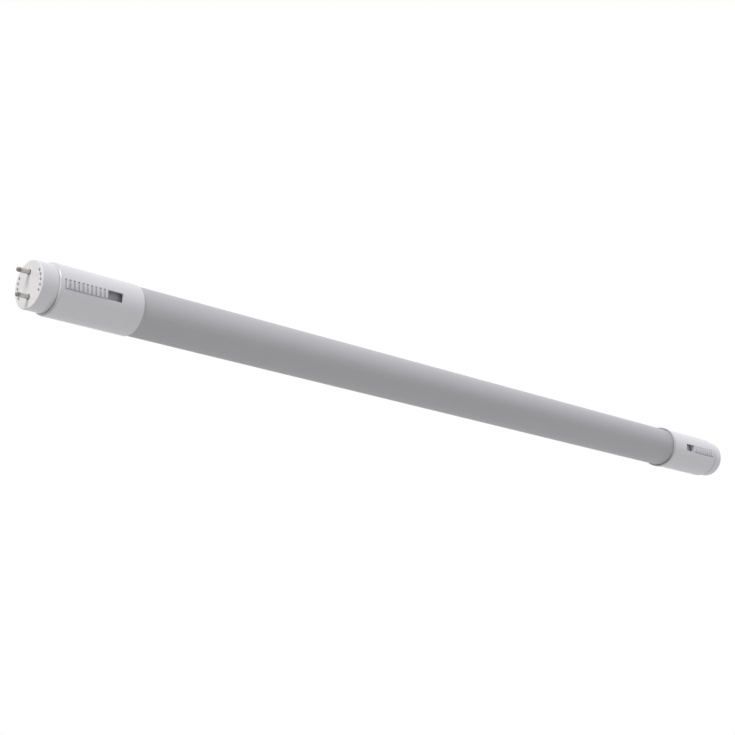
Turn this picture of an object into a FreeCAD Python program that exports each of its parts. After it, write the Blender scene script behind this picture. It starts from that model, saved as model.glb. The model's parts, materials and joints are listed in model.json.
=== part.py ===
"""LED tube lamp of the 2 ft size: a frosted tube with two pins and a ribbed slide switch at each end.

X runs along the lamp, Z through the two pins of each end, and the sliders face -Y.
The origin is the middle of the lamp's axis. Places along an end cap are given from its outer
face, so place 0 is the face and larger places lie towards the middle of the lamp.
"""
import FreeCAD, Part
import math
import os

Vector = FreeCAD.Vector

# Whole lamp, in millimetres
FACE_TO_FACE = 589.8
TUBE_DIAMETER = 26.0
TUBE_WALL = 1.0
FIT_GAP = 0.1

# End cap housing, a sleeve that butts on the tube and carries a spigot inside it
CAP_LENGTH = 59.4
CAP_DIAMETER = 27.1
CAP_WALL = 1.35
CAP_FRONT_RADIUS = 1.0
CAP_BACK_RADIUS = 0.2
SPIGOT_LENGTH = 12.0
SPIGOT_WALL = 1.2
SPIGOT_CHAMFER = 0.5
SHOULDER_THICKNESS = 2.0

# Ring on the far end of the tube, against the cap
RING_WIDTH = 3.6
RING_THICKNESS = 1.0
RING_EDGE_RADIUS = 0.3
RING_LIP = 0.3
RING_LIP_RADIUS = 0.12
RING_RECESS_DEPTH = 0.8

# Pin plate, the nose of the cap
NOSE_DIAMETER = 24.9
NOSE_WALL = 1.2
NOSE_EDGE_RADIUS = 0.5
FACE_THICKNESS = 1.8
NOSE_LENGTH = 9.3
NOSE_BACK_RADIUS = 0.15
SEAM_WIDTH = 0.3
PLATE_SPIGOT_LENGTH = 4.0
PLATE_SPIGOT_WALL = 1.1
NOTCH_GAP = 0.5

# Vent holes, in two arcs beside the pins
VENT_DIAMETER = 1.7
VENT_CHAMFER = 0.2
VENT_CIRCLE_DIAMETER = 20.4
VENTS_PER_SIDE = 5
VENT_PITCH_ANGLE = 15.2

# Base pins
PIN_DIAMETER = 2.37
PIN_SPACING = 12.7
PIN_LENGTH = 6.9
PIN_TIP_RADIUS = 0.8
PIN_WELL_DIAMETER = 3.1
PIN_WELL_DEPTH = 0.6
PIN_SHANK_DIAMETER = 1.9
PIN_SHANK_GAP = 0.05
PIN_HEAD_DIAMETER = 3.2
PIN_HEAD_THICKNESS = 0.6
BOSS_DIAMETER = 5.0
BOSS_LENGTH = 3.2

# Slot in the housing and the ribbed slider in it
SLOT_INSET = 2.3
SLOT_LENGTH = 34.4
SLOT_WIDTH = 5.0
SLOT_CORNER_RADIUS = 0.6
SLIDER_TRAVEL = 9.0
SLIDER_REST_GAP = 0.3
SLIDER_END_GAP = 0.5
SLIDER_SIDE_GAP = 0.25
THUMB_HEIGHT = 0.45
THUMB_CORNER_RADIUS = 0.5
RIB_COUNT = 10
RIB_MARGIN = 0.7
RIB_GROOVE_WIDTH = 1.25
RIB_GROOVE_DEPTH = 0.95
RIB_CHAMFER = 0.15
FLANGE_WIDTH = 8.0
FLANGE_THICKNESS = 0.8
FLANGE_OVERHANG = 0.8
FLANGE_GAP = 0.25

# Slide switch under the slot
SWITCH_LENGTH = 29.0
SWITCH_WIDTH = 9.0
SWITCH_WALL = 1.1
SWITCH_TOP_GAP = 0.3
LID_OVERRUN = 4.0
LEVER_LENGTH = 2.4
LEVER_WIDTH = 2.2
LEVER_GAP = 0.3
LEVER_DEPTH = 3.0
FORK_WALL = 1.0
FORK_DEPTH = 0.9
CONTACT_COUNT = 3
CONTACT_LENGTH = 7.0
CONTACT_WIDTH = 2.2
CONTACT_HEIGHT = 5.5

# Circuit boards, which all lie in one plane
BOARD_FRONT_Y = 1.8
BOARD_THICKNESS = 1.2
CAP_BOARD_WIDTH = 20.0
CAP_BOARD_INSET = 2.0
BOARD_CORNER_RADIUS = 0.8
RAIL_WALL = 1.0
RAIL_GRIP = 0.8
RAIL_START_GAP = 0.5
RAIL_END_GAP = 2.5
LED_BOARD_WIDTH = 10.0
BOARD_SPACING = 3.0

# LED packages and the aluminium profile that carries their board
LED_LENGTH = 3.5
LED_WIDTH = 2.8
LED_HEIGHT = 0.8
LED_PITCH = 9.0
LED_MARGIN = 10.0
PROFILE_WALL = 0.8
PROFILE_WEB = 1.2
PROFILE_END_GAP = 0.5

# Parts on the cap boards, each start taken from the front edge of the board
LEAD_DIAMETER = 1.3
LEAD_BEND_RADIUS = 2.5
LEAD_LAP = 4.0
CONNECTOR_GRIP = 3.0
CONNECTOR_WIDTH = 6.0
CONNECTOR_HEIGHT = 2.6
ELECTROLYTIC_DIAMETER = 8.0
ELECTROLYTIC_LENGTH = 14.0
ELECTROLYTIC_START = 26.0
TRANSFORMER_LENGTH = 12.0
TRANSFORMER_WIDTH = 10.0
TRANSFORMER_HEIGHT = 7.0
TRANSFORMER_START = 11.0
WINDING_SHARE = 0.6
RECTIFIER_SIZE = (6.5, 4.0, 2.4)
RECTIFIER_START = 3.0
CHIP_SIZE = (5.0, 3.9, 1.5)
CHIP_START = 34.0
CHIP_OFFSET = 6.0
CHIP_LEG_COUNT = 4
CHIP_LEG = (0.5, 1.0, 0.6)
FUSE_DIAMETER = 3.4
FUSE_LENGTH = 8.5
FUSE_CAP_LENGTH = 1.6
FUSE_CAP_RIM = 0.25
FUSE_START = 14.0
FUSE_OFFSET = 7.5
CHOKE_DIAMETER = 9.0
CHOKE_HEIGHT = 7.0
CHOKE_FLANGE = 1.2
CHOKE_WAIST = 1.0
CHOKE_START = 3.0
FILM_CAPACITOR_SIZE = (13.0, 6.0, 8.0)
FILM_CAPACITOR_RADIUS = 0.8
FILM_CAPACITOR_START = 16.0
VARISTOR_DIAMETER = 7.0
VARISTOR_THICKNESS = 3.4
VARISTOR_START = 32.0

# Sizes that follow from those above
TUBE_RADIUS = TUBE_DIAMETER / 2
TUBE_BORE = TUBE_RADIUS - TUBE_WALL
CAP_RADIUS = CAP_DIAMETER / 2
CAP_BORE = CAP_RADIUS - CAP_WALL
SPIGOT_RADIUS = TUBE_BORE - FIT_GAP
SPIGOT_BORE = SPIGOT_RADIUS - SPIGOT_WALL
NOSE_RADIUS = NOSE_DIAMETER / 2
NOSE_BORE = NOSE_RADIUS - NOSE_WALL
CAP_START = NOSE_LENGTH + SEAM_WIDTH
CAP_CONE_START = CAP_LENGTH - SHOULDER_THICKNESS - (CAP_BORE - SPIGOT_BORE)
PLATE_SPIGOT_RADIUS = CAP_BORE - FIT_GAP
PLATE_SPIGOT_BORE = PLATE_SPIGOT_RADIUS - PLATE_SPIGOT_WALL
PLATE_END = CAP_START + PLATE_SPIGOT_LENGTH
PIN_RADIUS = PIN_DIAMETER / 2
SHANK_RADIUS = PIN_SHANK_DIAMETER / 2
SHANK_END = FACE_THICKNESS + BOSS_LENGTH
PIN_END = SHANK_END + PIN_HEAD_THICKNESS
SLOT_START = CAP_START + SLOT_INSET
SLIDER_LENGTH = SLOT_LENGTH - SLIDER_REST_GAP - SLIDER_TRAVEL - SLIDER_END_GAP
SLIDER_START = SLOT_START + SLIDER_REST_GAP
THUMB_WIDTH = SLOT_WIDTH - 2 * SLIDER_SIDE_GAP
THUMB_RADIUS = CAP_RADIUS + THUMB_HEIGHT
FLANGE_RADIUS = CAP_BORE - FLANGE_GAP
FLANGE_BORE = FLANGE_RADIUS - FLANGE_THICKNESS
FLANGE_EDGE_DEPTH = math.sqrt(FLANGE_BORE**2 - (FLANGE_WIDTH / 2)**2)
SWITCH_START = SLOT_START + (SLOT_LENGTH - SWITCH_LENGTH) / 2
SWITCH_TOP = FLANGE_EDGE_DEPTH - SWITCH_TOP_GAP
LEVER_START = SLIDER_START + (SLIDER_LENGTH - LEVER_LENGTH) / 2
BOARD_BACK_Y = BOARD_FRONT_Y + BOARD_THICKNESS
CAP_BOARD_START = PLATE_END + RAIL_START_GAP
CAP_BOARD_END = CAP_LENGTH - CAP_BOARD_INSET
CAP_BOARD_LENGTH = CAP_BOARD_END - CAP_BOARD_START
RAIL_LENGTH = CAP_CONE_START - RAIL_END_GAP - CAP_BOARD_START
LED_BOARD_START = CAP_BOARD_END + BOARD_SPACING
LED_BOARD_LENGTH = FACE_TO_FACE - 2 * LED_BOARD_START
PROFILE_RADIUS = TUBE_BORE - FIT_GAP
PROFILE_START = CAP_LENGTH + SPIGOT_LENGTH + PROFILE_END_GAP
PROFILE_LENGTH = FACE_TO_FACE - 2 * PROFILE_START


def along(place):
    """X of a place that is given from the left face."""
    return place - FACE_TO_FACE / 2


def block(start, length, y_low, y_high, z_low, z_high):
    """Plain block; start is its place along the cap."""
    corner = Vector(along(start), y_low, z_low)
    return Part.makeBox(length, y_high - y_low, z_high - z_low, corner)


def rod(start, length, radius, y=0.0, z=0.0):
    """Round bar along X."""
    return Part.makeCylinder(radius, length, Vector(along(start), y, z), Vector(1, 0, 0))


def pipe(start, length, radius, bore):
    """Round pipe on the lamp's axis."""
    return rod(start, length, radius).cut(rod(start, length, bore))


def path_edges(corners, closed):
    """Lines joined by tangent arcs through corners, each a point with the radius of its bend."""
    count = len(corners)
    arcs = []
    for i, (point, radius) in enumerate(corners):
        if radius <= 0 or (not closed and i in (0, count - 1)):
            arcs.append((point, None, point))
            continue
        to_last = (corners[i - 1][0] - point).normalize()
        to_next = (corners[(i + 1) % count][0] - point).normalize()
        half = to_last.getAngle(to_next) / 2
        reach = radius / math.tan(half)
        middle = (to_last + to_next).normalize() * (radius / math.sin(half) - radius)
        arcs.append((point + to_last * reach, point + middle, point + to_next * reach))
    edges = []
    for i, (begin, middle, end) in enumerate(arcs):
        if middle is not None:
            edges.append(Part.Arc(begin, middle, end).toShape())
        if i < count - 1 or closed:
            following = arcs[(i + 1) % count][0]
            edges.append(Part.LineSegment(end, following).toShape())
    return edges


def turned(corners):
    """Body turned about the lamp's axis from corners of place, radius and corner radius."""
    outline = [(Vector(along(place), 0, radius), bend) for place, radius, bend in corners]
    face = Part.Face(Part.Wire(path_edges(outline, closed=True)))
    return face.revolve(Vector(0, 0, 0), Vector(1, 0, 0), 360)


def rounded_plate(start, length, y_low, y_high, width, corner_radius):
    """Flat plate in the XZ plane with rounded corners, centred on the axis in Z."""
    x_low, x_high = along(start), along(start + length)
    spots = [(x_low, -width / 2), (x_high, -width / 2), (x_high, width / 2), (x_low, width / 2)]
    outline = [(Vector(x, y_low, z), corner_radius) for x, z in spots]
    face = Part.Face(Part.Wire(path_edges(outline, closed=True)))
    return face.extrude(Vector(0, y_high - y_low, 0))


def one_piece(first, *others):
    """Fuse of touching shapes, with the seams between them taken out."""
    return first.fuse(list(others)).removeSplitter()


# Tube and what it holds

def diffuser_tube():
    return pipe(CAP_LENGTH, FACE_TO_FACE - 2 * CAP_LENGTH, TUBE_RADIUS, TUBE_BORE)


def tube_end_ring():
    """Ring with a recess about the tube, so that a thin lip faces the middle of the lamp."""
    bore = TUBE_RADIUS + FIT_GAP
    outside = bore + RING_THICKNESS
    far_face = FACE_TO_FACE - CAP_LENGTH
    near_face = far_face - RING_WIDTH
    recess_floor = near_face + RING_RECESS_DEPTH
    return turned([
        (near_face, outside - RING_LIP, RING_LIP_RADIUS),
        (near_face, outside, RING_LIP_RADIUS),
        (far_face, outside, RING_EDGE_RADIUS),
        (far_face, bore, 0),
        (recess_floor, bore, 0),
        (recess_floor, outside - RING_LIP, 0),
    ])


def heat_spreader():
    """Aluminium profile: a round back against the tube's bore and a flat web for the LED board."""
    reach = PROFILE_RADIUS
    outer = rod(PROFILE_START, PROFILE_LENGTH, reach)
    inner = rod(PROFILE_START, PROFILE_LENGTH, reach - PROFILE_WALL)
    back = block(PROFILE_START, PROFILE_LENGTH, BOARD_BACK_Y, reach, -reach, reach)
    hollow = block(PROFILE_START, PROFILE_LENGTH, BOARD_BACK_Y + PROFILE_WEB, reach, -reach, reach)
    return outer.common(back).cut(inner.common(hollow))


def led_board():
    return rounded_plate(LED_BOARD_START, LED_BOARD_LENGTH, BOARD_FRONT_Y, BOARD_BACK_Y,
                         LED_BOARD_WIDTH, BOARD_CORNER_RADIUS)


def led_packages():
    room = LED_BOARD_LENGTH - 2 * (LED_MARGIN + PROFILE_START - LED_BOARD_START)
    gaps = int(room // LED_PITCH)
    first = (FACE_TO_FACE - gaps * LED_PITCH - LED_LENGTH) / 2
    top = BOARD_FRONT_Y - LED_HEIGHT
    return Part.makeCompound([
        block(first + i * LED_PITCH, LED_LENGTH, top, BOARD_FRONT_Y, -LED_WIDTH / 2, LED_WIDTH / 2)
        for i in range(gaps + 1)
    ])


# End cap

def board_rails():
    """Grooved rails inside the sleeve that hold the cap board by its long edges."""
    half = CAP_BOARD_WIDTH / 2
    low, high = BOARD_FRONT_Y - RAIL_WALL, BOARD_BACK_Y + RAIL_WALL
    inside = rod(CAP_BOARD_START, RAIL_LENGTH, CAP_BORE + CAP_WALL / 2)
    rails = []
    for side in (-1, 1):
        edges = sorted((side * (half - RAIL_GRIP), side * CAP_RADIUS))
        rails.append(block(CAP_BOARD_START, RAIL_LENGTH, low, high, *edges).common(inside))
    groove = block(CAP_BOARD_START, RAIL_LENGTH, BOARD_FRONT_Y, BOARD_BACK_Y,
                   -half - FIT_GAP, half + FIT_GAP)
    return [rail.cut(groove) for rail in rails]


def cap_housing():
    """Sleeve with the slider's slot, the board rails and the spigot that enters the tube."""
    end = CAP_LENGTH + SPIGOT_LENGTH
    sleeve = turned([
        (CAP_START, CAP_BORE, 0),
        (CAP_START, CAP_RADIUS, CAP_FRONT_RADIUS),
        (CAP_LENGTH, CAP_RADIUS, CAP_BACK_RADIUS),
        (CAP_LENGTH, SPIGOT_RADIUS, 0),
        (end - SPIGOT_CHAMFER, SPIGOT_RADIUS, 0),
        (end, SPIGOT_RADIUS - SPIGOT_CHAMFER, 0),
        (end, SPIGOT_BORE, 0),
        (CAP_LENGTH - SHOULDER_THICKNESS, SPIGOT_BORE, 0),
        (CAP_CONE_START, CAP_BORE, 0),
    ])
    slot = rounded_plate(SLOT_START, SLOT_LENGTH, -2 * CAP_RADIUS, -SWITCH_TOP,
                         SLOT_WIDTH, SLOT_CORNER_RADIUS)
    return one_piece(sleeve, *board_rails()).cut(slot)


def countersink(y, z):
    """Cone that breaks the edge of a vent at the face."""
    wide = VENT_DIAMETER / 2 + 2 * VENT_CHAMFER
    return Part.makeCone(wide, VENT_DIAMETER / 2, 2 * VENT_CHAMFER,
                         Vector(along(-VENT_CHAMFER), y, z), Vector(1, 0, 0))


def pin_wells():
    """Shallow round wells in the face, in which the pins stand."""
    return [rod(-PIN_WELL_DEPTH, 2 * PIN_WELL_DEPTH, PIN_WELL_DIAMETER / 2, z=side * PIN_SPACING / 2)
            for side in (-1, 1)]


def vent_holes():
    holes = []
    middle = (VENTS_PER_SIDE - 1) / 2
    for side in (0, 180):
        for i in range(VENTS_PER_SIDE):
            angle = math.radians(side + (i - middle) * VENT_PITCH_ANGLE)
            y = VENT_CIRCLE_DIAMETER / 2 * math.cos(angle)
            z = VENT_CIRCLE_DIAMETER / 2 * math.sin(angle)
            holes.append(rod(-FACE_THICKNESS, 3 * FACE_THICKNESS, VENT_DIAMETER / 2, y, z))
            holes.append(countersink(y, z))
    return holes


def pin_plate():
    """Cup-shaped nose with vents, wells and bosses for the pins and a spigot into the sleeve."""
    cup = turned([
        (0, 0, 0),
        (0, NOSE_RADIUS, NOSE_EDGE_RADIUS),
        (NOSE_LENGTH, NOSE_RADIUS, NOSE_BACK_RADIUS),
        (NOSE_LENGTH, PLATE_SPIGOT_RADIUS, 0),
        (PLATE_END, PLATE_SPIGOT_RADIUS, 0),
        (PLATE_END, PLATE_SPIGOT_BORE, 0),
        (NOSE_LENGTH - NOSE_WALL, PLATE_SPIGOT_BORE, 0),
        (NOSE_LENGTH - NOSE_WALL, NOSE_BORE, 0),
        (FACE_THICKNESS, NOSE_BORE, 0),
        (FACE_THICKNESS, 0, 0),
    ])
    bosses = [rod(FACE_THICKNESS, BOSS_LENGTH, BOSS_DIAMETER / 2, z=side * PIN_SPACING / 2)
              for side in (-1, 1)]
    pin_holes = [rod(-FACE_THICKNESS, 3 * FACE_THICKNESS + BOSS_LENGTH, SHANK_RADIUS + PIN_SHANK_GAP,
                     z=side * PIN_SPACING / 2) for side in (-1, 1)]
    reach = FLANGE_WIDTH / 2 + NOTCH_GAP
    notch = block(CAP_START, 2 * PLATE_SPIGOT_LENGTH, -CAP_RADIUS, 0, -reach, reach)
    return one_piece(cup, *bosses).cut(pin_holes + pin_wells() + vent_holes() + [notch])


def base_pin(z):
    """Round pin with a domed tip, a thinner shank through the plate and a swaged head behind."""
    exposed = rod(-PIN_LENGTH, PIN_LENGTH, PIN_RADIUS)
    tip = [edge for edge in exposed.Edges if edge.CenterOfMass.x < along(-PIN_LENGTH / 2)
           and len(edge.Vertexes) == 1]
    exposed = exposed.makeFillet(PIN_TIP_RADIUS, tip)
    shank = rod(0, SHANK_END, SHANK_RADIUS)
    head = rod(SHANK_END, PIN_HEAD_THICKNESS, PIN_HEAD_DIAMETER / 2)
    pin = one_piece(exposed, shank, head)
    pin.translate(Vector(0, 0, z))
    return pin


def pin_lead(z):
    """Insulated wire from the back of a pin to the front of the cap board."""
    radius = LEAD_DIAMETER / 2
    rise = BOARD_FRONT_Y - radius
    run = CAP_BOARD_START - PIN_END
    corners = [
        (Vector(along(PIN_END), 0, z), 0),
        (Vector(along(PIN_END + run / 3), 0, z), LEAD_BEND_RADIUS),
        (Vector(along(CAP_BOARD_START), rise, z), LEAD_BEND_RADIUS),
        (Vector(along(CAP_BOARD_START + LEAD_LAP), rise, z), 0),
    ]
    spine = Part.Wire(path_edges(corners, closed=False))
    circle = Part.Wire([Part.makeCircle(radius, corners[0][0], Vector(1, 0, 0))])
    return spine.makePipeShell([circle], True, False)


# Slider and switch

def rib_groove(start):
    """Cutter for one groove of the thumb piece, which breaks the edges of the ribs beside it."""
    end = start + RIB_GROOVE_WIDTH
    floor = THUMB_RADIUS - RIB_GROOVE_DEPTH
    return turned([
        (start, floor, 0),
        (start, THUMB_RADIUS - RIB_CHAMFER, 0),
        (start - 2 * RIB_CHAMFER, THUMB_RADIUS + RIB_CHAMFER, 0),
        (end + 2 * RIB_CHAMFER, THUMB_RADIUS + RIB_CHAMFER, 0),
        (end, THUMB_RADIUS - RIB_CHAMFER, 0),
        (end, floor, 0),
    ])


def slider_ribs():
    """Cutters for the margin ahead of the first rib, for the grooves and for the last rib's edge."""
    first = SLIDER_START + RIB_MARGIN - RIB_GROOVE_WIDTH
    pitch = (SLIDER_START + SLIDER_LENGTH - first) / RIB_COUNT
    return [rib_groove(first + i * pitch) for i in range(RIB_COUNT + 1)]


def switch_slider():
    """Ribbed thumb piece that stands out of the slot, on a curved flange inside the sleeve."""
    thumb = rounded_plate(SLIDER_START, SLIDER_LENGTH, -2 * THUMB_RADIUS, 0, THUMB_WIDTH,
                          THUMB_CORNER_RADIUS)
    wall = pipe(SLIDER_START, SLIDER_LENGTH, THUMB_RADIUS, FLANGE_BORE)
    thumb = thumb.common(wall).cut(slider_ribs())
    start = SLIDER_START - FLANGE_OVERHANG
    length = SLIDER_LENGTH + 2 * FLANGE_OVERHANG
    strip = block(start, length, -CAP_RADIUS, 0, -FLANGE_WIDTH / 2, FLANGE_WIDTH / 2)
    flange = pipe(start, length, FLANGE_RADIUS, FLANGE_BORE).common(strip)
    return one_piece(thumb, flange, *slider_forks())


def slider_forks():
    """Two teeth under the flange that drive the switch lever between them."""
    low, high = -FLANGE_BORE - FLANGE_THICKNESS / 2, -FLANGE_BORE + FORK_DEPTH
    starts = (LEVER_START - LEVER_GAP - FORK_WALL, LEVER_START + LEVER_LENGTH + LEVER_GAP)
    return [block(start, FORK_WALL, low, high, -LEVER_WIDTH / 2, LEVER_WIDTH / 2)
            for start in starts]


def switch_lever():
    """Lever that reaches from the slider's fork through the switch cover."""
    return rounded_plate(LEVER_START, LEVER_LENGTH, -FLANGE_BORE + FIT_GAP, -SWITCH_TOP + LEVER_DEPTH,
                         LEVER_WIDTH, LEVER_GAP)


def switch_body():
    """Moulded cover on the board, open to it, whose lid closes the housing's slot from inside."""
    half = SWITCH_WIDTH / 2
    outer = rounded_plate(SWITCH_START, SWITCH_LENGTH, -SWITCH_TOP, BOARD_FRONT_Y, SWITCH_WIDTH,
                          SWITCH_WALL)
    lid_length = SLOT_START + SLOT_LENGTH + LID_OVERRUN - SWITCH_START
    lid = rounded_plate(SWITCH_START, lid_length, -SWITCH_TOP, -SWITCH_TOP + SWITCH_WALL,
                        SWITCH_WIDTH, SWITCH_WALL)
    inner = block(SWITCH_START + SWITCH_WALL, SWITCH_LENGTH - 2 * SWITCH_WALL,
                  -SWITCH_TOP + SWITCH_WALL, BOARD_FRONT_Y, -half + SWITCH_WALL, half - SWITCH_WALL)
    lever_slot = block(LEVER_START - LEVER_GAP, LEVER_LENGTH + SLIDER_TRAVEL + 2 * LEVER_GAP,
                       -SWITCH_TOP, -SWITCH_TOP + SWITCH_WALL,
                       -LEVER_WIDTH / 2 - LEVER_GAP, LEVER_WIDTH / 2 + LEVER_GAP)
    return one_piece(outer, lid).cut([inner, lever_slot])


def switch_contacts():
    """Row of contact blades on the board, inside the switch body."""
    room = SWITCH_LENGTH - 4 * SWITCH_WALL
    pitch = (room - CONTACT_LENGTH) / (CONTACT_COUNT - 1)
    first = SWITCH_START + 2 * SWITCH_WALL
    return Part.makeCompound([
        block(first + i * pitch, CONTACT_LENGTH, BOARD_FRONT_Y - CONTACT_HEIGHT, BOARD_FRONT_Y,
              -CONTACT_WIDTH / 2, CONTACT_WIDTH / 2) for i in range(CONTACT_COUNT)
    ])


# Boards in the caps and what they carry

def cap_board():
    return rounded_plate(CAP_BOARD_START, CAP_BOARD_LENGTH, BOARD_FRONT_Y, BOARD_BACK_Y,
                         CAP_BOARD_WIDTH, BOARD_CORNER_RADIUS)


def board_connector():
    """Connector that bridges the cap board and the LED board."""
    return rounded_plate(CAP_BOARD_END - CONNECTOR_GRIP, BOARD_SPACING + 2 * CONNECTOR_GRIP,
                         BOARD_FRONT_Y - CONNECTOR_HEIGHT, BOARD_FRONT_Y, CONNECTOR_WIDTH,
                         BOARD_CORNER_RADIUS)


def back_block(start, size, z=0.0):
    """Block of length, width and height on the back of the cap board."""
    length, width, height = size
    y_high = BOARD_BACK_Y + height
    return block(CAP_BOARD_START + start, length, BOARD_BACK_Y, y_high, z - width / 2, z + width / 2)


def electrolytic_capacitor():
    """Can that lies along the board."""
    radius = ELECTROLYTIC_DIAMETER / 2
    can = rod(CAP_BOARD_START + ELECTROLYTIC_START, ELECTROLYTIC_LENGTH, radius, y=BOARD_BACK_Y + radius)
    ends = [edge for edge in can.Edges if len(edge.Vertexes) == 1]
    return can.makeFillet(radius / 8, ends)


def transformer():
    """Ferrite core with its winding between the end limbs."""
    core = back_block(TRANSFORMER_START, (TRANSFORMER_LENGTH, TRANSFORMER_WIDTH * WINDING_SHARE,
                                          TRANSFORMER_HEIGHT))
    winding_length = TRANSFORMER_LENGTH * WINDING_SHARE
    winding = back_block(TRANSFORMER_START + (TRANSFORMER_LENGTH - winding_length) / 2,
                         (winding_length, TRANSFORMER_WIDTH, TRANSFORMER_HEIGHT - BOARD_THICKNESS))
    return one_piece(core, winding)


def rectifier():
    return back_block(RECTIFIER_START, RECTIFIER_SIZE)


def driver_chip():
    """Small chip with a row of legs along each side."""
    length, width, height = CHIP_SIZE
    leg_length, leg_reach, leg_height = CHIP_LEG
    z = CHIP_OFFSET
    body = back_block(CHIP_START, CHIP_SIZE, z)
    pitch = length / CHIP_LEG_COUNT
    inset = (pitch - leg_length) / 2
    legs = [back_block(CHIP_START + inset + i * pitch, (leg_length, width + 2 * leg_reach, leg_height), z)
            for i in range(CHIP_LEG_COUNT)]
    return one_piece(body, *legs)


def fuse():
    """Glass fuse with a metal cap at each end, beside the transformer."""
    radius = FUSE_DIAMETER / 2
    y = BOARD_BACK_Y + radius
    start = CAP_BOARD_START + FUSE_START
    glass = rod(start, FUSE_LENGTH, radius - FUSE_CAP_RIM, y, FUSE_OFFSET)
    ends = [rod(place, FUSE_CAP_LENGTH, radius, y, FUSE_OFFSET)
            for place in (start, start + FUSE_LENGTH - FUSE_CAP_LENGTH)]
    return one_piece(glass, *ends)


def upright_disc(start, radius, low, high):
    """Disc that stands on the back of the board, its axis along Y."""
    centre = Vector(along(CAP_BOARD_START + start + radius), BOARD_BACK_Y + low, 0)
    return Part.makeCylinder(radius, high - low, centre, Vector(0, 1, 0))


def choke():
    """Drum core with a wound waist between two flanges."""
    radius = CHOKE_DIAMETER / 2
    base = upright_disc(CHOKE_START, radius, 0, CHOKE_FLANGE)
    top = upright_disc(CHOKE_START, radius, CHOKE_HEIGHT - CHOKE_FLANGE, CHOKE_HEIGHT)
    waist = upright_disc(CHOKE_START + CHOKE_WAIST, radius - CHOKE_WAIST, 0, CHOKE_HEIGHT)
    return one_piece(waist, base, top)


def film_capacitor():
    box = back_block(FILM_CAPACITOR_START, FILM_CAPACITOR_SIZE)
    return box.makeFillet(FILM_CAPACITOR_RADIUS, box.Edges)


def varistor():
    return upright_disc(VARISTOR_START, VARISTOR_DIAMETER / 2, 0, VARISTOR_THICKNESS)


# The two ends

def cap_nodes(side):
    """Nodes of one end, built at the left; the right end is the same cap turned about Y."""
    z_up = PIN_SPACING / 2 if side == "left" else -PIN_SPACING / 2
    nodes = {
        "cap_housing": cap_housing(),
        "pin_plate": pin_plate(),
        "pin_upper": base_pin(z_up),
        "pin_lower": base_pin(-z_up),
        "pin_lead_upper": pin_lead(z_up),
        "pin_lead_lower": pin_lead(-z_up),
        "switch_slider": switch_slider(),
        "switch_lever": switch_lever(),
        "switch_body": switch_body(),
        "switch_contacts": switch_contacts(),
        "cap_board": cap_board(),
        "board_connector": board_connector(),
    }
    if side == "left":
        nodes["transformer"] = transformer()
        nodes["electrolytic_capacitor"] = electrolytic_capacitor()
        nodes["rectifier"] = rectifier()
        nodes["driver_chip"] = driver_chip()
        nodes["fuse"] = fuse()
    else:
        nodes["choke"] = choke()
        nodes["film_capacitor"] = film_capacitor()
        nodes["varistor"] = varistor()
        for shape in nodes.values():
            shape.rotate(Vector(0, 0, 0), Vector(0, 1, 0), 180)
    return {side + "_" + name: shape for name, shape in nodes.items()}


def lamp_nodes():
    nodes = {
        "diffuser_tube": diffuser_tube(),
        "tube_end_ring": tube_end_ring(),
        "heat_spreader": heat_spreader(),
        "led_board": led_board(),
        "led_packages": led_packages(),
    }
    for side in ("left", "right"):
        nodes.update(cap_nodes(side))
    return nodes


def main():
    os.makedirs("parts", exist_ok=True)
    for name, shape in lamp_nodes().items():
        if not shape.isValid():
            raise ValueError(name + " is not a valid shape")
        shape.exportStep("parts/" + name + ".step")
        print(name, "solids", len(shape.Solids), "volume", round(shape.Volume, 2))


main()
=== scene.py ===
"""Looks of the LED tube lamp: finishes, fine detail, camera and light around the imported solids.

X runs along the lamp, Z through the two pins of each end, and the sliders face -Y.
Lengths are metres in the scene and millimetres inside the finishes.
"""

import json
import math

import bpy
from mathutils import Matrix, Vector


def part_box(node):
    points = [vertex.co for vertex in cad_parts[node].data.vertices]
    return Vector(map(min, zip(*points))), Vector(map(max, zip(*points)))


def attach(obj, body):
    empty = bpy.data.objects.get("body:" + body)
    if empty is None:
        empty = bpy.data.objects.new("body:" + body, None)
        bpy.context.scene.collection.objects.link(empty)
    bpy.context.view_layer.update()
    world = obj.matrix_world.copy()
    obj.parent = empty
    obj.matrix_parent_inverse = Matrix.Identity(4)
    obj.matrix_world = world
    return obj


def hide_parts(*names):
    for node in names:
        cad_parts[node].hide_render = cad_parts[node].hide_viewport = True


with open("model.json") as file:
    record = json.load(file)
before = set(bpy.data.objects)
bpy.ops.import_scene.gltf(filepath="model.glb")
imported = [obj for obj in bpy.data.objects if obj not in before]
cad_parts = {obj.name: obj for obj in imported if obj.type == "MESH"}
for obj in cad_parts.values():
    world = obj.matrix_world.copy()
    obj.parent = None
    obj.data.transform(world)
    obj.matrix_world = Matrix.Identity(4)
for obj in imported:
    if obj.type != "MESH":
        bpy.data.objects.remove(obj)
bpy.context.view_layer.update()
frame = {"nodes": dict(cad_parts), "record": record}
nodes = frame["nodes"]

MM = 0.001
QUARTER_TURN = math.pi / 2

# Places and sizes of the solids, in millimetres; seam and slot count from the nearer outer face
FACE_X = 294.9
TUBE_RADIUS = 13.0
TUBE_WALL = 1.0
TUBE_HALF_LENGTH = 235.5
CAP_RADIUS = 13.55
SEAM_START = 9.3
SEAM_END = 9.6
SLOT_START = 11.9
SLOT_END = 46.3
SLOT_HALF_WIDTH = 2.5
PIN_RADIUS = 1.185
PIN_LENGTH = 6.9
PIN_WELL_RADIUS = 1.55
PIN_Z = 6.35
RING_FRONT_X = 231.9
RING_RADIUS = 14.1
RING_RECESS_DEPTH = 0.8
LED_LENGTH = 3.5
LED_PITCH = 9.0

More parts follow.
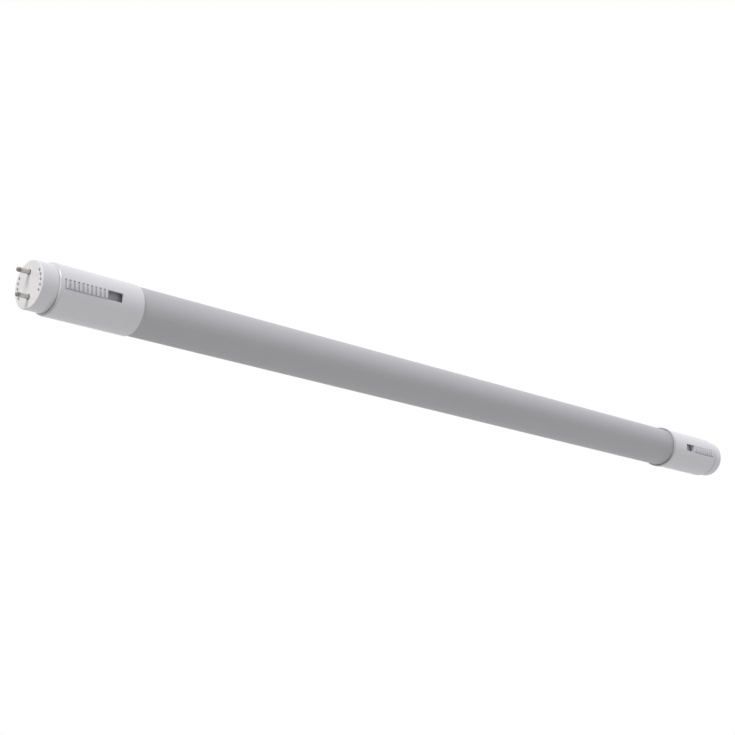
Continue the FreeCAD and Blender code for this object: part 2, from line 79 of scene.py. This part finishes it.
# Detail that only the looks carry, in millimetres
TUBE_EDGE_RADIUS = 0.15
TUBE_SEGMENTS = 144
PHOSPHOR_LENGTH = 2.7
PHOSPHOR_WIDTH = 2.0
PHOSPHOR_RISE = 0.05
PHOSPHOR_CORNER = 0.4
FILLET_POINTS = 3
SHARP_DEGREES = 25.0

# Fades along the caps, in millimetres inwards from the nearer outer face, and PIN_TIP outwards from it
END_FACE_FADE = (0.1, 0.4)
PIN_WELL_END = (0.7, 1.2)
CREASE = (6.2, SEAM_START)
CREASE_FADE = 0.8
STEP_START = (SEAM_START - 3.0, SEAM_END)
STEP_END = (SEAM_END + 0.4, SEAM_END + 1.1)
SLEEVE_EDGE = (SEAM_END + 0.1, SEAM_END + 0.8)
SLEEVE_EDGE_FADE = 0.1
SLOT_FADE = 0.2
SLOT_RIM_START = (SLOT_START - 0.3, SLOT_START)
SLOT_RIM_END = (SLOT_START + 12.0, SLOT_START + 30.0)
WINDOW_END = (SLOT_END - 2.6, SLOT_END - 0.4)
PIN_ROOT = (-0.9, 0.1)
PIN_TIP = (PIN_LENGTH - 2.9, PIN_LENGTH - 1.1)

# Fades across the caps, in millimetres from the lamp's axis
SLIDER_SIDE_Y = (-9.0, -8.0)
SLOT_WALL_RADIUS = (CAP_RADIUS - 1.3, CAP_RADIUS - 0.1)
SLOT_RIM_Z = (-SLOT_HALF_WIDTH - 0.4, -SLOT_HALF_WIDTH)
SLOT_RIM_FADE = 0.25
UNDERSIDE_Z = (-11.5, -4.0)
CREASE_Z = (-2.0, 6.0)
PIN_WELL_FADE = 0.2

# Fades on the ring and between the two ends, in millimetres
RIGHT_END_X = (0.0, 1.0)
RING_LIP_X = (RING_FRONT_X + 0.6, RING_FRONT_X + 1.8)
RECESS_SHADE_X = (RING_FRONT_X + RING_RECESS_DEPTH + 0.1, RING_FRONT_X + RING_RECESS_DEPTH + 0.2)
RECESS_SHADE_RADIUS = (RING_RADIUS - 0.12, RING_RADIUS - 0.04)

# Painted shade of each place, from 0 for none, and what a colour keeps under full painted shade
PAINTED_SHADE_LEVELS = {
    "slot": 0.15,
    "slot_rim": 0.38,
    "seam_step": 0.65,
    "sleeve_edge": 0.48,
    "crease": 0.27,
    "pin_well": 0.15,
    "rib_flanks": 0.3,
    "window_end": 0.25,
    "ring_lip": 0.8,
}
PAINTED_SHADE_KEEP = 0.45

# Noise: size of the lumps in millimetres, detail, and what a colour keeps in the dark lumps
FINE_DETAIL = 2.0
CLOUD_DETAIL = 3.0
NOISE_ROUGHNESS = 0.55
CLOUD_SIZE = 9.0
CLOUD_SHADE = 0.97
GRAIN_SIZE = 0.35
MOTTLE_SIZE = 0.5
MOTTLE_SHADE = 0.88
TUBE_CLOUD_SIZE = 14.0
FROST_SIZE = 0.25
DRAWN_SIZE = 0.6
DRAWN_SQUEEZE = 0.01
TURNING_SIZE = 0.08
WEAR_SIZE = 0.7

# Relief of the finishes, in millimetres, and how far noise moves their roughness
RELIEF = 0.004
MOTTLE_RELIEF = 0.003
FROST_SHARE = 0.6
DRAWN_SHARE = 0.4
GRAIN_SWING = 0.1
CLOUD_SWING = 0.08
MOTTLE_SWING = 0.15
WEAR_SWING = 0.2

# Roughness and gloss
CAP_ROUGHNESS = 0.34
SLIDER_ROUGHNESS = 0.38
RING_ROUGHNESS = 0.38
RECESS_EXTRA_ROUGHNESS = 0.3
SWITCH_ROUGHNESS = 0.5
TUBE_ROUGHNESS = 0.5
TUBE_SPECULAR = 0.35
PIN_ROUGHNESS = 0.28
COAT_ROUGHNESS = 0.12

# Colours
WHITE = (0.85, 0.85, 0.855)
SLIDER_SHADE = 0.93
# End face painted warmer and darker for how the light falls on it
END_FACE_PAINTED_TINT = (0.835, 0.825, 0.81)
# Grey painted in the ring's recess about the tube as its shade
RECESS_SHADE_COLOUR = (0.76, 0.76, 0.765)
SWITCH_COLOUR = (0.52, 0.52, 0.53)
TUBE_COLOURS = ((0.55, 0.55, 0.555), (0.57, 0.57, 0.575))
PLATING_COLOURS = ((0.47, 0.45, 0.425), (0.56, 0.54, 0.51))
# Pins darker towards the tip, and painted shade at their root in the well
PIN_DARK_COLOUR = (0.22, 0.212, 0.205)
PIN_ROOT_SHADE = 0.5

# Finishes of the pieces inside: colour, roughness and, where it is metal, 1
PLAIN_FINISHES = {
    "profile_aluminium": ((0.78, 0.79, 0.8), 0.35, 1.0),
    "led_board": ((0.82, 0.83, 0.82), 0.4),
    "led_phosphor": ((0.85, 0.68, 0.15), 0.5),
    "circuit_board": ((0.05, 0.22, 0.09), 0.4),
    "contact_brass": ((0.75, 0.56, 0.25), 0.3, 1.0),
    "lead_insulation": ((0.7, 0.7, 0.68), 0.5),
    "connector_plastic": ((0.8, 0.79, 0.74), 0.45),
    "ferrite": ((0.06, 0.06, 0.065), 0.5),
    "capacitor_can": ((0.05, 0.06, 0.09), 0.35),
    "film_case": ((0.55, 0.09, 0.05), 0.35),
    "varistor_coating": ((0.05, 0.13, 0.4), 0.45),
    "chip_epoxy": ((0.03, 0.03, 0.032), 0.45),
    "fuse_glass": ((0.7, 0.72, 0.7), 0.15),
    "led_case": ((0.86, 0.86, 0.84), 0.4),
}

# Camera that sees the lamp as the photograph does
CAMERA_PLACE = Vector((-0.66136, -0.5974, -0.24437))
CAMERA_RIGHT = Vector((0.71074, -0.70325, -0.01806))
CAMERA_UP = Vector((-0.18505, -0.21174, 0.95965))
CAMERA_LENS = 73.12
SENSOR_WIDTH = 36.0
CLIP_START = 0.01
CLIP_END = 100.0

# Studio: each surround has one look for what the camera sees and one for the light it gives
KEY_DIRECTION = Vector((-0.63, -0.22, 0.74))
KEY_SPREAD = 28.0
KEY_STRENGTH = 1.9
SURROUND_SEEN = (1.0, 1.0, 1.0)
SURROUND_UNSEEN = (0.985, 0.972, 1.085)
SURROUND_LEVEL = 0.47
FLOOR_SEEN = (0.96, 0.96, 0.955)
FLOOR_UNSEEN = (0.5, 0.495, 0.472)
FLOOR_ROUGHNESS = 0.7
FLOOR_Z = -1.0
FLOOR_HALF = 30.0


class Wire:
    """An output socket that takes part in sums: each operator adds its Math node."""

    def __init__(self, graph, socket):
        self.graph = graph
        self.socket = socket

    def calc(self, operation, *values):
        return self.graph.node("ShaderNodeMath", {"operation": operation}, dict(enumerate(values)))

    def __add__(self, other):
        return self.calc("ADD", self, other)

    def __radd__(self, other):
        return self.calc("ADD", other, self)

    def __sub__(self, other):
        return self.calc("SUBTRACT", self, other)

    def __rsub__(self, other):
        return self.calc("SUBTRACT", other, self)

    def __mul__(self, other):
        return self.calc("MULTIPLY", self, other)

    def __rmul__(self, other):
        return self.calc("MULTIPLY", other, self)

    def __pow__(self, other):
        return self.calc("POWER", self, other)

    def __neg__(self):
        return self.calc("MULTIPLY", self, -1.0)

    def __abs__(self):
        return self.calc("ABSOLUTE", self)

    def most(self, other):
        return self.calc("MAXIMUM", self, other)

    def rise(self, low, high):
        """0 below low and 1 above high, with a soft step between them."""
        return self.graph.node("ShaderNodeMapRange", {"interpolation_type": "SMOOTHSTEP"},
                               {"Value": self, "From Min": low, "From Max": high})

    def fall(self, low, high):
        """1 below low and 0 above high, with a soft step between them."""
        return 1 - self.rise(low, high)

    def band(self, low, high, soft):
        """1 between low and high, with soft ends outside them."""
        return self.rise(low - soft, low) * self.fall(high, high + soft)

    def swing(self, width):
        """A noise of 0 to 1 as a swing of that width about 0."""
        return (self - 0.5) * width


class Graph:
    """A node tree that grows by expressions."""

    def __init__(self, tree):
        self.tree = tree

    def node(self, kind, settings=None, sockets=None, output=0):
        """Adds a node: its settings first, then values or links for its sockets."""
        made = self.tree.nodes.new(kind)
        for name, value in (settings or {}).items():
            setattr(made, name, value)
        for name, value in (sockets or {}).items():
            self.feed(self.find(made.inputs, name), value)
        return Wire(self, self.find(made.outputs, output))

    @staticmethod
    def find(sockets, name):
        """A socket by its number, its identifier or its name."""
        if isinstance(name, int):
            return sockets[name]
        by_identifier = [s for s in sockets if s.identifier == name]
        return by_identifier[0] if by_identifier else sockets[name]

    def feed(self, socket, value):
        if isinstance(value, Wire):
            self.tree.links.new(value.socket, socket)
        else:
            socket.default_value = value

    def close(self, kind, wire):
        """Ends the tree in its output node."""
        self.feed(self.tree.nodes.new(kind).inputs[0], wire)

    def other(self, wire, output):
        """Another output of the node that a wire comes from."""
        return Wire(self, self.find(wire.socket.node.outputs, output))

    def apart(self, vector):
        """The three numbers of a vector."""
        first = self.node("ShaderNodeSeparateXYZ", None, {0: vector})
        return first, self.other(first, 1), self.other(first, 2)

    def together(self, x, y, z):
        return self.node("ShaderNodeCombineXYZ", None, {0: x, 1: y, 2: z})

    def scaled(self, vector, factor):
        return self.node("ShaderNodeVectorMath", {"operation": "SCALE"},
                         {"Vector": vector, "Scale": factor}, "Vector")

    def shaded(self, colour, share):
        """A colour made darker, whether it is three numbers or a wire."""
        return self.scaled(colour, share) if isinstance(colour, Wire) else dimmed(colour, share)

    def tint(self, amount, low, high):
        """A colour between two, by an amount from 0 to 1."""
        return self.node("ShaderNodeMix", {"data_type": "RGBA"},
                         {"Factor_Float": amount, "A_Color": rgba(low), "B_Color": rgba(high)},
                         "Result_Color")


class Finish(Graph):
    """A material whose patterns are laid out in millimetres of the lamp's own frame."""

    def __init__(self, name):
        self.material = bpy.data.materials.new(name)
        self.material.use_nodes = True
        super().__init__(self.material.node_tree)
        self.tree.nodes.clear()
        where = self.node("ShaderNodeTexCoord", None, None, "Object")
        self.place = self.scaled(where, 1 / MM)
        self.x, self.y, self.z = self.apart(self.place)

    def radius(self):
        """Distance from the lamp's axis."""
        return (self.y * self.y + self.z * self.z) ** 0.5

    def from_face(self):
        """Distance from the outer face of the nearer end."""
        return FACE_X - abs(self.x)

    def from_pin(self):
        """Distance from the axis of the nearer pin."""
        off = abs(self.z) - PIN_Z
        return (self.y * self.y + off * off) ** 0.5

    def grain(self, size, detail=FINE_DETAIL, place=None):
        """Noise from 0 to 1 whose lumps are about size millimetres wide."""
        return self.node("ShaderNodeTexNoise", None,
                         {"Vector": self.place if place is None else place,
                          "Scale": 1 / size, "Detail": detail, "Roughness": NOISE_ROUGHNESS})

    def relief(self, height, depth):
        """A bumped normal; depth is the millimetres between heights 0 and 1."""
        return self.node("ShaderNodeBump", None,
                         {"Strength": 1.0, "Distance": depth * MM, "Height": height})

    def painted_shade(self, **masks):
        """The most of some masks of painted shade, each times the level given for its name."""
        levels = [mask * PAINTED_SHADE_LEVELS[name] for name, mask in masks.items()]
        whole = levels[0]
        for level in levels[1:]:
            whole = whole.most(level)
        return whole

    def plastic(self, colour, painted_shade):
        """Clouds, fine grain, and a plastic's colour under those clouds and its painted shade."""
        cloud = self.grain(CLOUD_SIZE, CLOUD_DETAIL)
        fine = self.grain(GRAIN_SIZE)
        unshaded = self.tint(cloud, self.shaded(colour, CLOUD_SHADE), colour)
        # The colour is darkened by the mask of painted shade
        return cloud, fine, self.tint(painted_shade, unshaded, self.shaded(colour, PAINTED_SHADE_KEEP))

    def surface(self, **sockets):
        """Closes the material with one Principled shader."""
        named = {key.replace("_", " "): value for key, value in sockets.items()}
        self.close("ShaderNodeOutputMaterial", self.node("ShaderNodeBsdfPrincipled", None, named))
        return self.material


def rgba(colour):
    """Four channels from three, or the same wire back."""
    return colour if isinstance(colour, Wire) else (*colour, 1.0)


def dimmed(colour, share):
    return tuple(c * share for c in colour)


# Finishes

def moulded(f, colour, roughness, painted_shade, gloss=0.0):
    """Injection-moulded plastic: spark-eroded grain, faint flow clouds, and painted shade in the corners.
    """
    cloud, fine, with_painted_shade = f.plastic(colour, painted_shade)
    return f.surface(
        Base_Color=with_painted_shade,
        Roughness=roughness + fine.swing(GRAIN_SWING) + cloud.swing(CLOUD_SWING),
        Coat_Weight=gloss,
        Coat_Roughness=COAT_ROUGHNESS,
        Normal=f.relief(fine, RELIEF),
    )


def cap_plastic():
    """White housing with painted shade in the slot, on the slot's lower rim, in the pin wells, about the
    seam on the underside, on the sleeve's edge there and near the seam on the lower nose of the +X end;
    that edge of the sleeve is also glossy, and the end face is painted warmer and darker for how the light
    falls on it."""
    f = Finish("cap_plastic")
    place = f.from_face()
    slider_side = f.y.fall(*SLIDER_SIDE_Y)
    edge = place.band(*SLEEVE_EDGE, SLEEVE_EDGE_FADE)
    # Painted shade: darker colour in the slot, on its lower rim, about the seam on the underside, on the
    # sleeve's edge, near the seam of the +X end's nose and in the pin wells
    painted_shade = f.painted_shade(
        slot=place.band(SLOT_START, SLOT_END, SLOT_FADE) * f.radius().fall(*SLOT_WALL_RADIUS) * slider_side,
        slot_rim=(f.z.band(*SLOT_RIM_Z, SLOT_RIM_FADE) * slider_side
                  * place.rise(*SLOT_RIM_START) * place.fall(*SLOT_RIM_END)),
        seam_step=place.rise(*STEP_START) * place.fall(*STEP_END) * f.z.fall(*UNDERSIDE_Z),
        sleeve_edge=edge,
        crease=place.band(*CREASE, CREASE_FADE) * f.x.rise(*RIGHT_END_X) * f.z.fall(*CREASE_Z),
        pin_well=f.from_pin().band(PIN_RADIUS, PIN_WELL_RADIUS, PIN_WELL_FADE) * place.fall(*PIN_WELL_END),
    )
    # End face painted warmer and darker for how the light falls on it
    face_tint = f.tint(place.rise(*END_FACE_FADE), END_FACE_PAINTED_TINT, WHITE)
    return moulded(f, face_tint, CAP_ROUGHNESS, painted_shade, edge)


def slider_plastic():
    """White thumb piece, slightly grey, with painted shade on the flanks of its ribs."""
    f = Finish("slider_plastic")
    facing = f.apart(f.node("ShaderNodeNewGeometry", None, None, "Normal"))[0]
    # Painted shade on the rib flanks, by how much they face along the lamp
    return moulded(f, dimmed(WHITE, SLIDER_SHADE), SLIDER_ROUGHNESS, f.painted_shade(rib_flanks=abs(facing)))


def ring_plastic():
    """White ring with painted shade along its lip, and grey painted shade in the recess about the tube,
    which is also rougher there.
    """
    f = Finish("ring_plastic")
    # Grey painted shade in the recess about the tube; painted shade along the lip
    recess_shade = f.x.fall(*RECESS_SHADE_X) * f.radius().fall(*RECESS_SHADE_RADIUS)
    _, fine, with_painted_shade = f.plastic(WHITE, f.painted_shade(ring_lip=f.x.fall(*RING_LIP_X)))
    return f.surface(
        Base_Color=f.tint(recess_shade, with_painted_shade, RECESS_SHADE_COLOUR),
        Roughness=RING_ROUGHNESS + recess_shade * RECESS_EXTRA_ROUGHNESS + fine.swing(GRAIN_SWING),
        Normal=f.relief(fine, RELIEF),
    )


def switch_plastic():
    """Grey cover with painted shade at the closed end of the window."""
    f = Finish("switch_plastic")
    # Painted shade towards the closed end of the window
    return moulded(f, SWITCH_COLOUR, SWITCH_ROUGHNESS, f.painted_shade(window_end=f.from_face().rise(*WINDOW_END)))


def plain(name, colour, roughness, metallic=0.0):
    """Finish of a piece inside, with a fine mottle."""
    f = Finish(name)
    mottle = f.grain(MOTTLE_SIZE, CLOUD_DETAIL)
    return f.surface(
        Base_Color=f.tint(mottle, dimmed(colour, MOTTLE_SHADE), colour),
        Roughness=roughness + mottle.swing(MOTTLE_SWING),
        Metallic=metallic,
        Normal=f.relief(mottle, MOTTLE_RELIEF),
    )


def frosted_tube():
    """Extruded frosted tube: fine frost, faint lines along it and slow clouds."""
    f = Finish("frosted_tube")
    cloud = f.grain(TUBE_CLOUD_SIZE, CLOUD_DETAIL)
    frost = f.grain(FROST_SIZE)
    drawn = f.grain(DRAWN_SIZE, place=f.together(f.x * DRAWN_SQUEEZE, f.y, f.z))
    return f.surface(
        Base_Color=f.tint(cloud, *TUBE_COLOURS),
        Roughness=TUBE_ROUGHNESS + frost.swing(GRAIN_SWING),
        Specular_IOR_Level=TUBE_SPECULAR,
        Normal=f.relief(frost * FROST_SHARE + drawn * DRAWN_SHARE, RELIEF),
    )


def pin_metal():
    """Plated pin with turning marks, darker towards the tip, and with painted shade at its root in the
    well.
    """
    f = Finish("pin_metal")
    place = f.from_face()
    turned = f.grain(TURNING_SIZE, place=f.together(f.x, 0.0, 0.0))
    wear = f.grain(WEAR_SIZE, CLOUD_DETAIL)
    # Darker towards the tip, and painted shade at the root in the well
    dark = (-place).rise(*PIN_TIP).most(place.rise(*PIN_ROOT) * PIN_ROOT_SHADE)
    return f.surface(
        Base_Color=f.tint(dark, f.tint(wear, *PLATING_COLOURS), PIN_DARK_COLOUR),
        Metallic=1.0,
        Roughness=PIN_ROUGHNESS + wear.swing(WEAR_SWING),
        Normal=f.relief(turned, RELIEF),
    )


finishes = {
    "diffuser": frosted_tube(),
    "ring_plastic": ring_plastic(),
    "cap_plastic": cap_plastic(),
    "slider_plastic": slider_plastic(),
    "pin_metal": pin_metal(),
    "switch_plastic": switch_plastic(),
}
for name, look in PLAIN_FINISHES.items():
    finishes[name] = plain(name, *look)

slot_of = {part["node"]: part["material_slot"] for part in frame["record"]["subparts"]}


def dress(name, material):
    """Gives a node its finish; its mesh stays as it is."""
    mesh = nodes[name].data
    mesh.materials.clear()
    mesh.materials.append(material)


for name in nodes:
    dress(name, finishes[slot_of[name]])
dress("led_packages", finishes["led_case"])


# Pieces that follow a rule, grown as Geometry Nodes and kept as plain meshes

class Grower(Graph):
    """A Geometry Nodes tree with named inputs, which ends in a mesh of one finish."""

    def __init__(self, name, sizes):
        tree = bpy.data.node_groups.new(name, "GeometryNodeTree")
        super().__init__(tree)
        self.name = name
        self.sizes = sizes
        self.identifiers = {}
        for label, value in sizes.items():
            kind = "NodeSocketInt" if isinstance(value, int) else "NodeSocketFloat"
            made = tree.interface.new_socket(name=label, in_out="INPUT", socket_type=kind)
            self.identifiers[label] = made.identifier
        tree.interface.new_socket(name="Mesh", in_out="OUTPUT", socket_type="NodeSocketGeometry")
        self.entry = self.node("NodeGroupInput")

    def size(self, label):
        return self.other(self.entry, label)

    def turned(self, mesh, turn):
        return self.node("GeometryNodeTransform", None, {"Geometry": mesh, "Rotation": turn})

    def finish(self, mesh, material, slot, body):
        """Ends the tree, takes its mesh as a piece and lets that ride on a body."""
        whole = self.node("GeometryNodeRealizeInstances", None, {0: mesh})
        smooth = self.node("GeometryNodeSetShadeSmooth", None, {0: whole})
        dressed = self.node("GeometryNodeSetMaterial", None, {"Geometry": smooth, "Material": material})
        self.close("NodeGroupOutput", dressed)
        seed = bpy.data.objects.new(self.name, bpy.data.meshes.new(self.name))
        bpy.context.scene.collection.objects.link(seed)
        growth = seed.modifiers.new("growth", "NODES")
        growth.node_group = self.tree
        for label, value in self.sizes.items():
            growth[self.identifiers[label]] = value
        bpy.context.view_layer.update()
        grown = seed.evaluated_get(bpy.context.evaluated_depsgraph_get())
        mesh = bpy.data.meshes.new_from_object(grown)
        mesh.name = self.name
        seed.modifiers.clear()
        seed.data = mesh
        mesh.set_sharp_from_angle(angle=math.radians(SHARP_DEGREES))
        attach(seed, body)
        return seed


def tube_shell():
    """The frosted tube with a true round wall and eased ends."""
    g = Grower("tube_shell", {
        "Middle radius": (TUBE_RADIUS - TUBE_WALL / 2) * MM,
        "Wall": TUBE_WALL * MM,
        "Length": 2 * TUBE_HALF_LENGTH * MM,
        "Edge radius": TUBE_EDGE_RADIUS * MM,
        "Segments": TUBE_SEGMENTS,
    })
    section = g.node("GeometryNodeCurvePrimitiveQuadrilateral", {"mode": "RECTANGLE"},
                     {"Width": g.size("Wall"), "Height": g.size("Length")})
    eased = g.node("GeometryNodeFilletCurve", {"mode": "POLY"},
                   {"Curve": section, "Radius": g.size("Edge radius"), "Count": FILLET_POINTS})
    path = g.node("GeometryNodeCurvePrimitiveCircle", {"mode": "RADIUS"},
                  {"Resolution": g.size("Segments"), "Radius": g.size("Middle radius")})
    wall = g.node("GeometryNodeCurveToMesh", None, {"Curve": path, "Profile Curve": eased})
    laid = g.turned(wall, (0.0, QUARTER_TURN, 0.0))
    shell = g.finish(laid, finishes["diffuser"], "diffuser", "lamp")
    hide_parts("diffuser_tube")


def phosphor_windows():
    """Yellow window on the front of each LED package."""
    low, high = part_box("led_packages")
    count = round(((high.x - low.x) / MM - LED_LENGTH) / LED_PITCH) + 1
    g = Grower("phosphor_windows", {
        "Length": PHOSPHOR_LENGTH * MM,
        "Width": PHOSPHOR_WIDTH * MM,
        "Rise": PHOSPHOR_RISE * MM,
        "Corner": PHOSPHOR_CORNER * MM,
        "Pitch": LED_PITCH * MM,
        "Count": count,
    })
    outline = g.node("GeometryNodeCurvePrimitiveQuadrilateral", {"mode": "RECTANGLE"},
                     {"Width": g.size("Length"), "Height": g.size("Width")})
    rounded = g.node("GeometryNodeFilletCurve", {"mode": "POLY"},
                     {"Curve": outline, "Radius": g.size("Corner"), "Count": FILLET_POINTS})
    rise = g.node("GeometryNodeCurvePrimitiveLine", {"mode": "POINTS"},
                  {"Start": (0.0, 0.0, 0.0), "End": g.together(0.0, 0.0, g.size("Rise"))})
    plate = g.node("GeometryNodeCurveToMesh", None,
                   {"Curve": rise, "Profile Curve": rounded, "Fill Caps": True})
    upright = g.turned(plate, (QUARTER_TURN, 0.0, 0.0))
    step = g.together(g.size("Pitch"), 0.0, 0.0)
    spots = g.node("GeometryNodeMeshLine", {"mode": "OFFSET"},
                   {"Count": g.size("Count"), "Offset": step,
                    "Start Location": (low.x + LED_LENGTH / 2 * MM, low.y, 0.0)})
    row = g.node("GeometryNodeInstanceOnPoints", None, {"Points": spots, "Instance": upright})
    g.finish(row, finishes["led_phosphor"], "led_phosphor", "lamp")


tube_shell()
phosphor_windows()


# Studio

def is_seen(g):
    """1 for the camera's own rays and for those that it sees in gloss or through glass."""
    ray = g.node("ShaderNodeLightPath", None, None, "Is Camera Ray")
    return ray.most(g.other(ray, "Is Glossy Ray")).most(g.other(ray, "Is Transmission Ray"))


def lit_world():
    """White to the camera and in reflections, and a plain soft level on the object."""
    world = bpy.data.worlds.new("studio")
    bpy.context.scene.world = world
    world.use_nodes = True
    g = Graph(world.node_tree)
    g.tree.nodes.clear()
    seen = is_seen(g)
    glow = g.node("ShaderNodeBackground", None, {
        "Color": g.tint(seen, SURROUND_UNSEEN, SURROUND_SEEN),
        "Strength": SURROUND_LEVEL + (1.0 - SURROUND_LEVEL) * seen,
    })
    g.close("ShaderNodeOutputWorld", glow)


def floor():
    """Plain floor below the lamp, white to the camera and darker in the light that it gives."""
    mesh = bpy.data.meshes.new("studio_floor")
    corners = [(x * FLOOR_HALF, y * FLOOR_HALF, FLOOR_Z) for x, y in ((-1, -1), (1, -1), (1, 1), (-1, 1))]
    mesh.from_pydata(corners, [], [(0, 1, 2, 3)])
    piece = bpy.data.objects.new("studio_floor", mesh)
    bpy.context.scene.collection.objects.link(piece)
    f = Finish("studio_floor")
    mesh.materials.append(f.surface(
        Base_Color=f.tint(is_seen(f), FLOOR_UNSEEN, FLOOR_SEEN),
        Roughness=FLOOR_ROUGHNESS,
    ))


def key_light():
    """Broad sun from the upper left."""
    light = bpy.data.lights.new("key", "SUN")
    light.angle = math.radians(KEY_SPREAD)
    light.energy = KEY_STRENGTH
    lamp = bpy.data.objects.new("key", light)
    bpy.context.scene.collection.objects.link(lamp)
    lamp.rotation_mode = "QUATERNION"
    lamp.rotation_quaternion = KEY_DIRECTION.to_track_quat("Z", "Y")


def camera():
    """Camera whose sight runs along minus the cross product of its right and up."""
    lens = bpy.data.cameras.new("camera")
    lens.lens = CAMERA_LENS
    lens.sensor_width = SENSOR_WIDTH
    lens.clip_start = CLIP_START
    lens.clip_end = CLIP_END
    seer = bpy.data.objects.new("camera", lens)
    bpy.context.scene.collection.objects.link(seer)
    back = CAMERA_RIGHT.cross(CAMERA_UP)
    turn = Matrix((CAMERA_RIGHT, CAMERA_UP, back)).transposed()
    seer.matrix_world = Matrix.Translation(CAMERA_PLACE) @ turn.to_4x4()
    bpy.context.scene.camera = seer


lit_world()
floor()
key_light()
camera()
bpy.context.scene.view_settings.view_transform = "Standard"
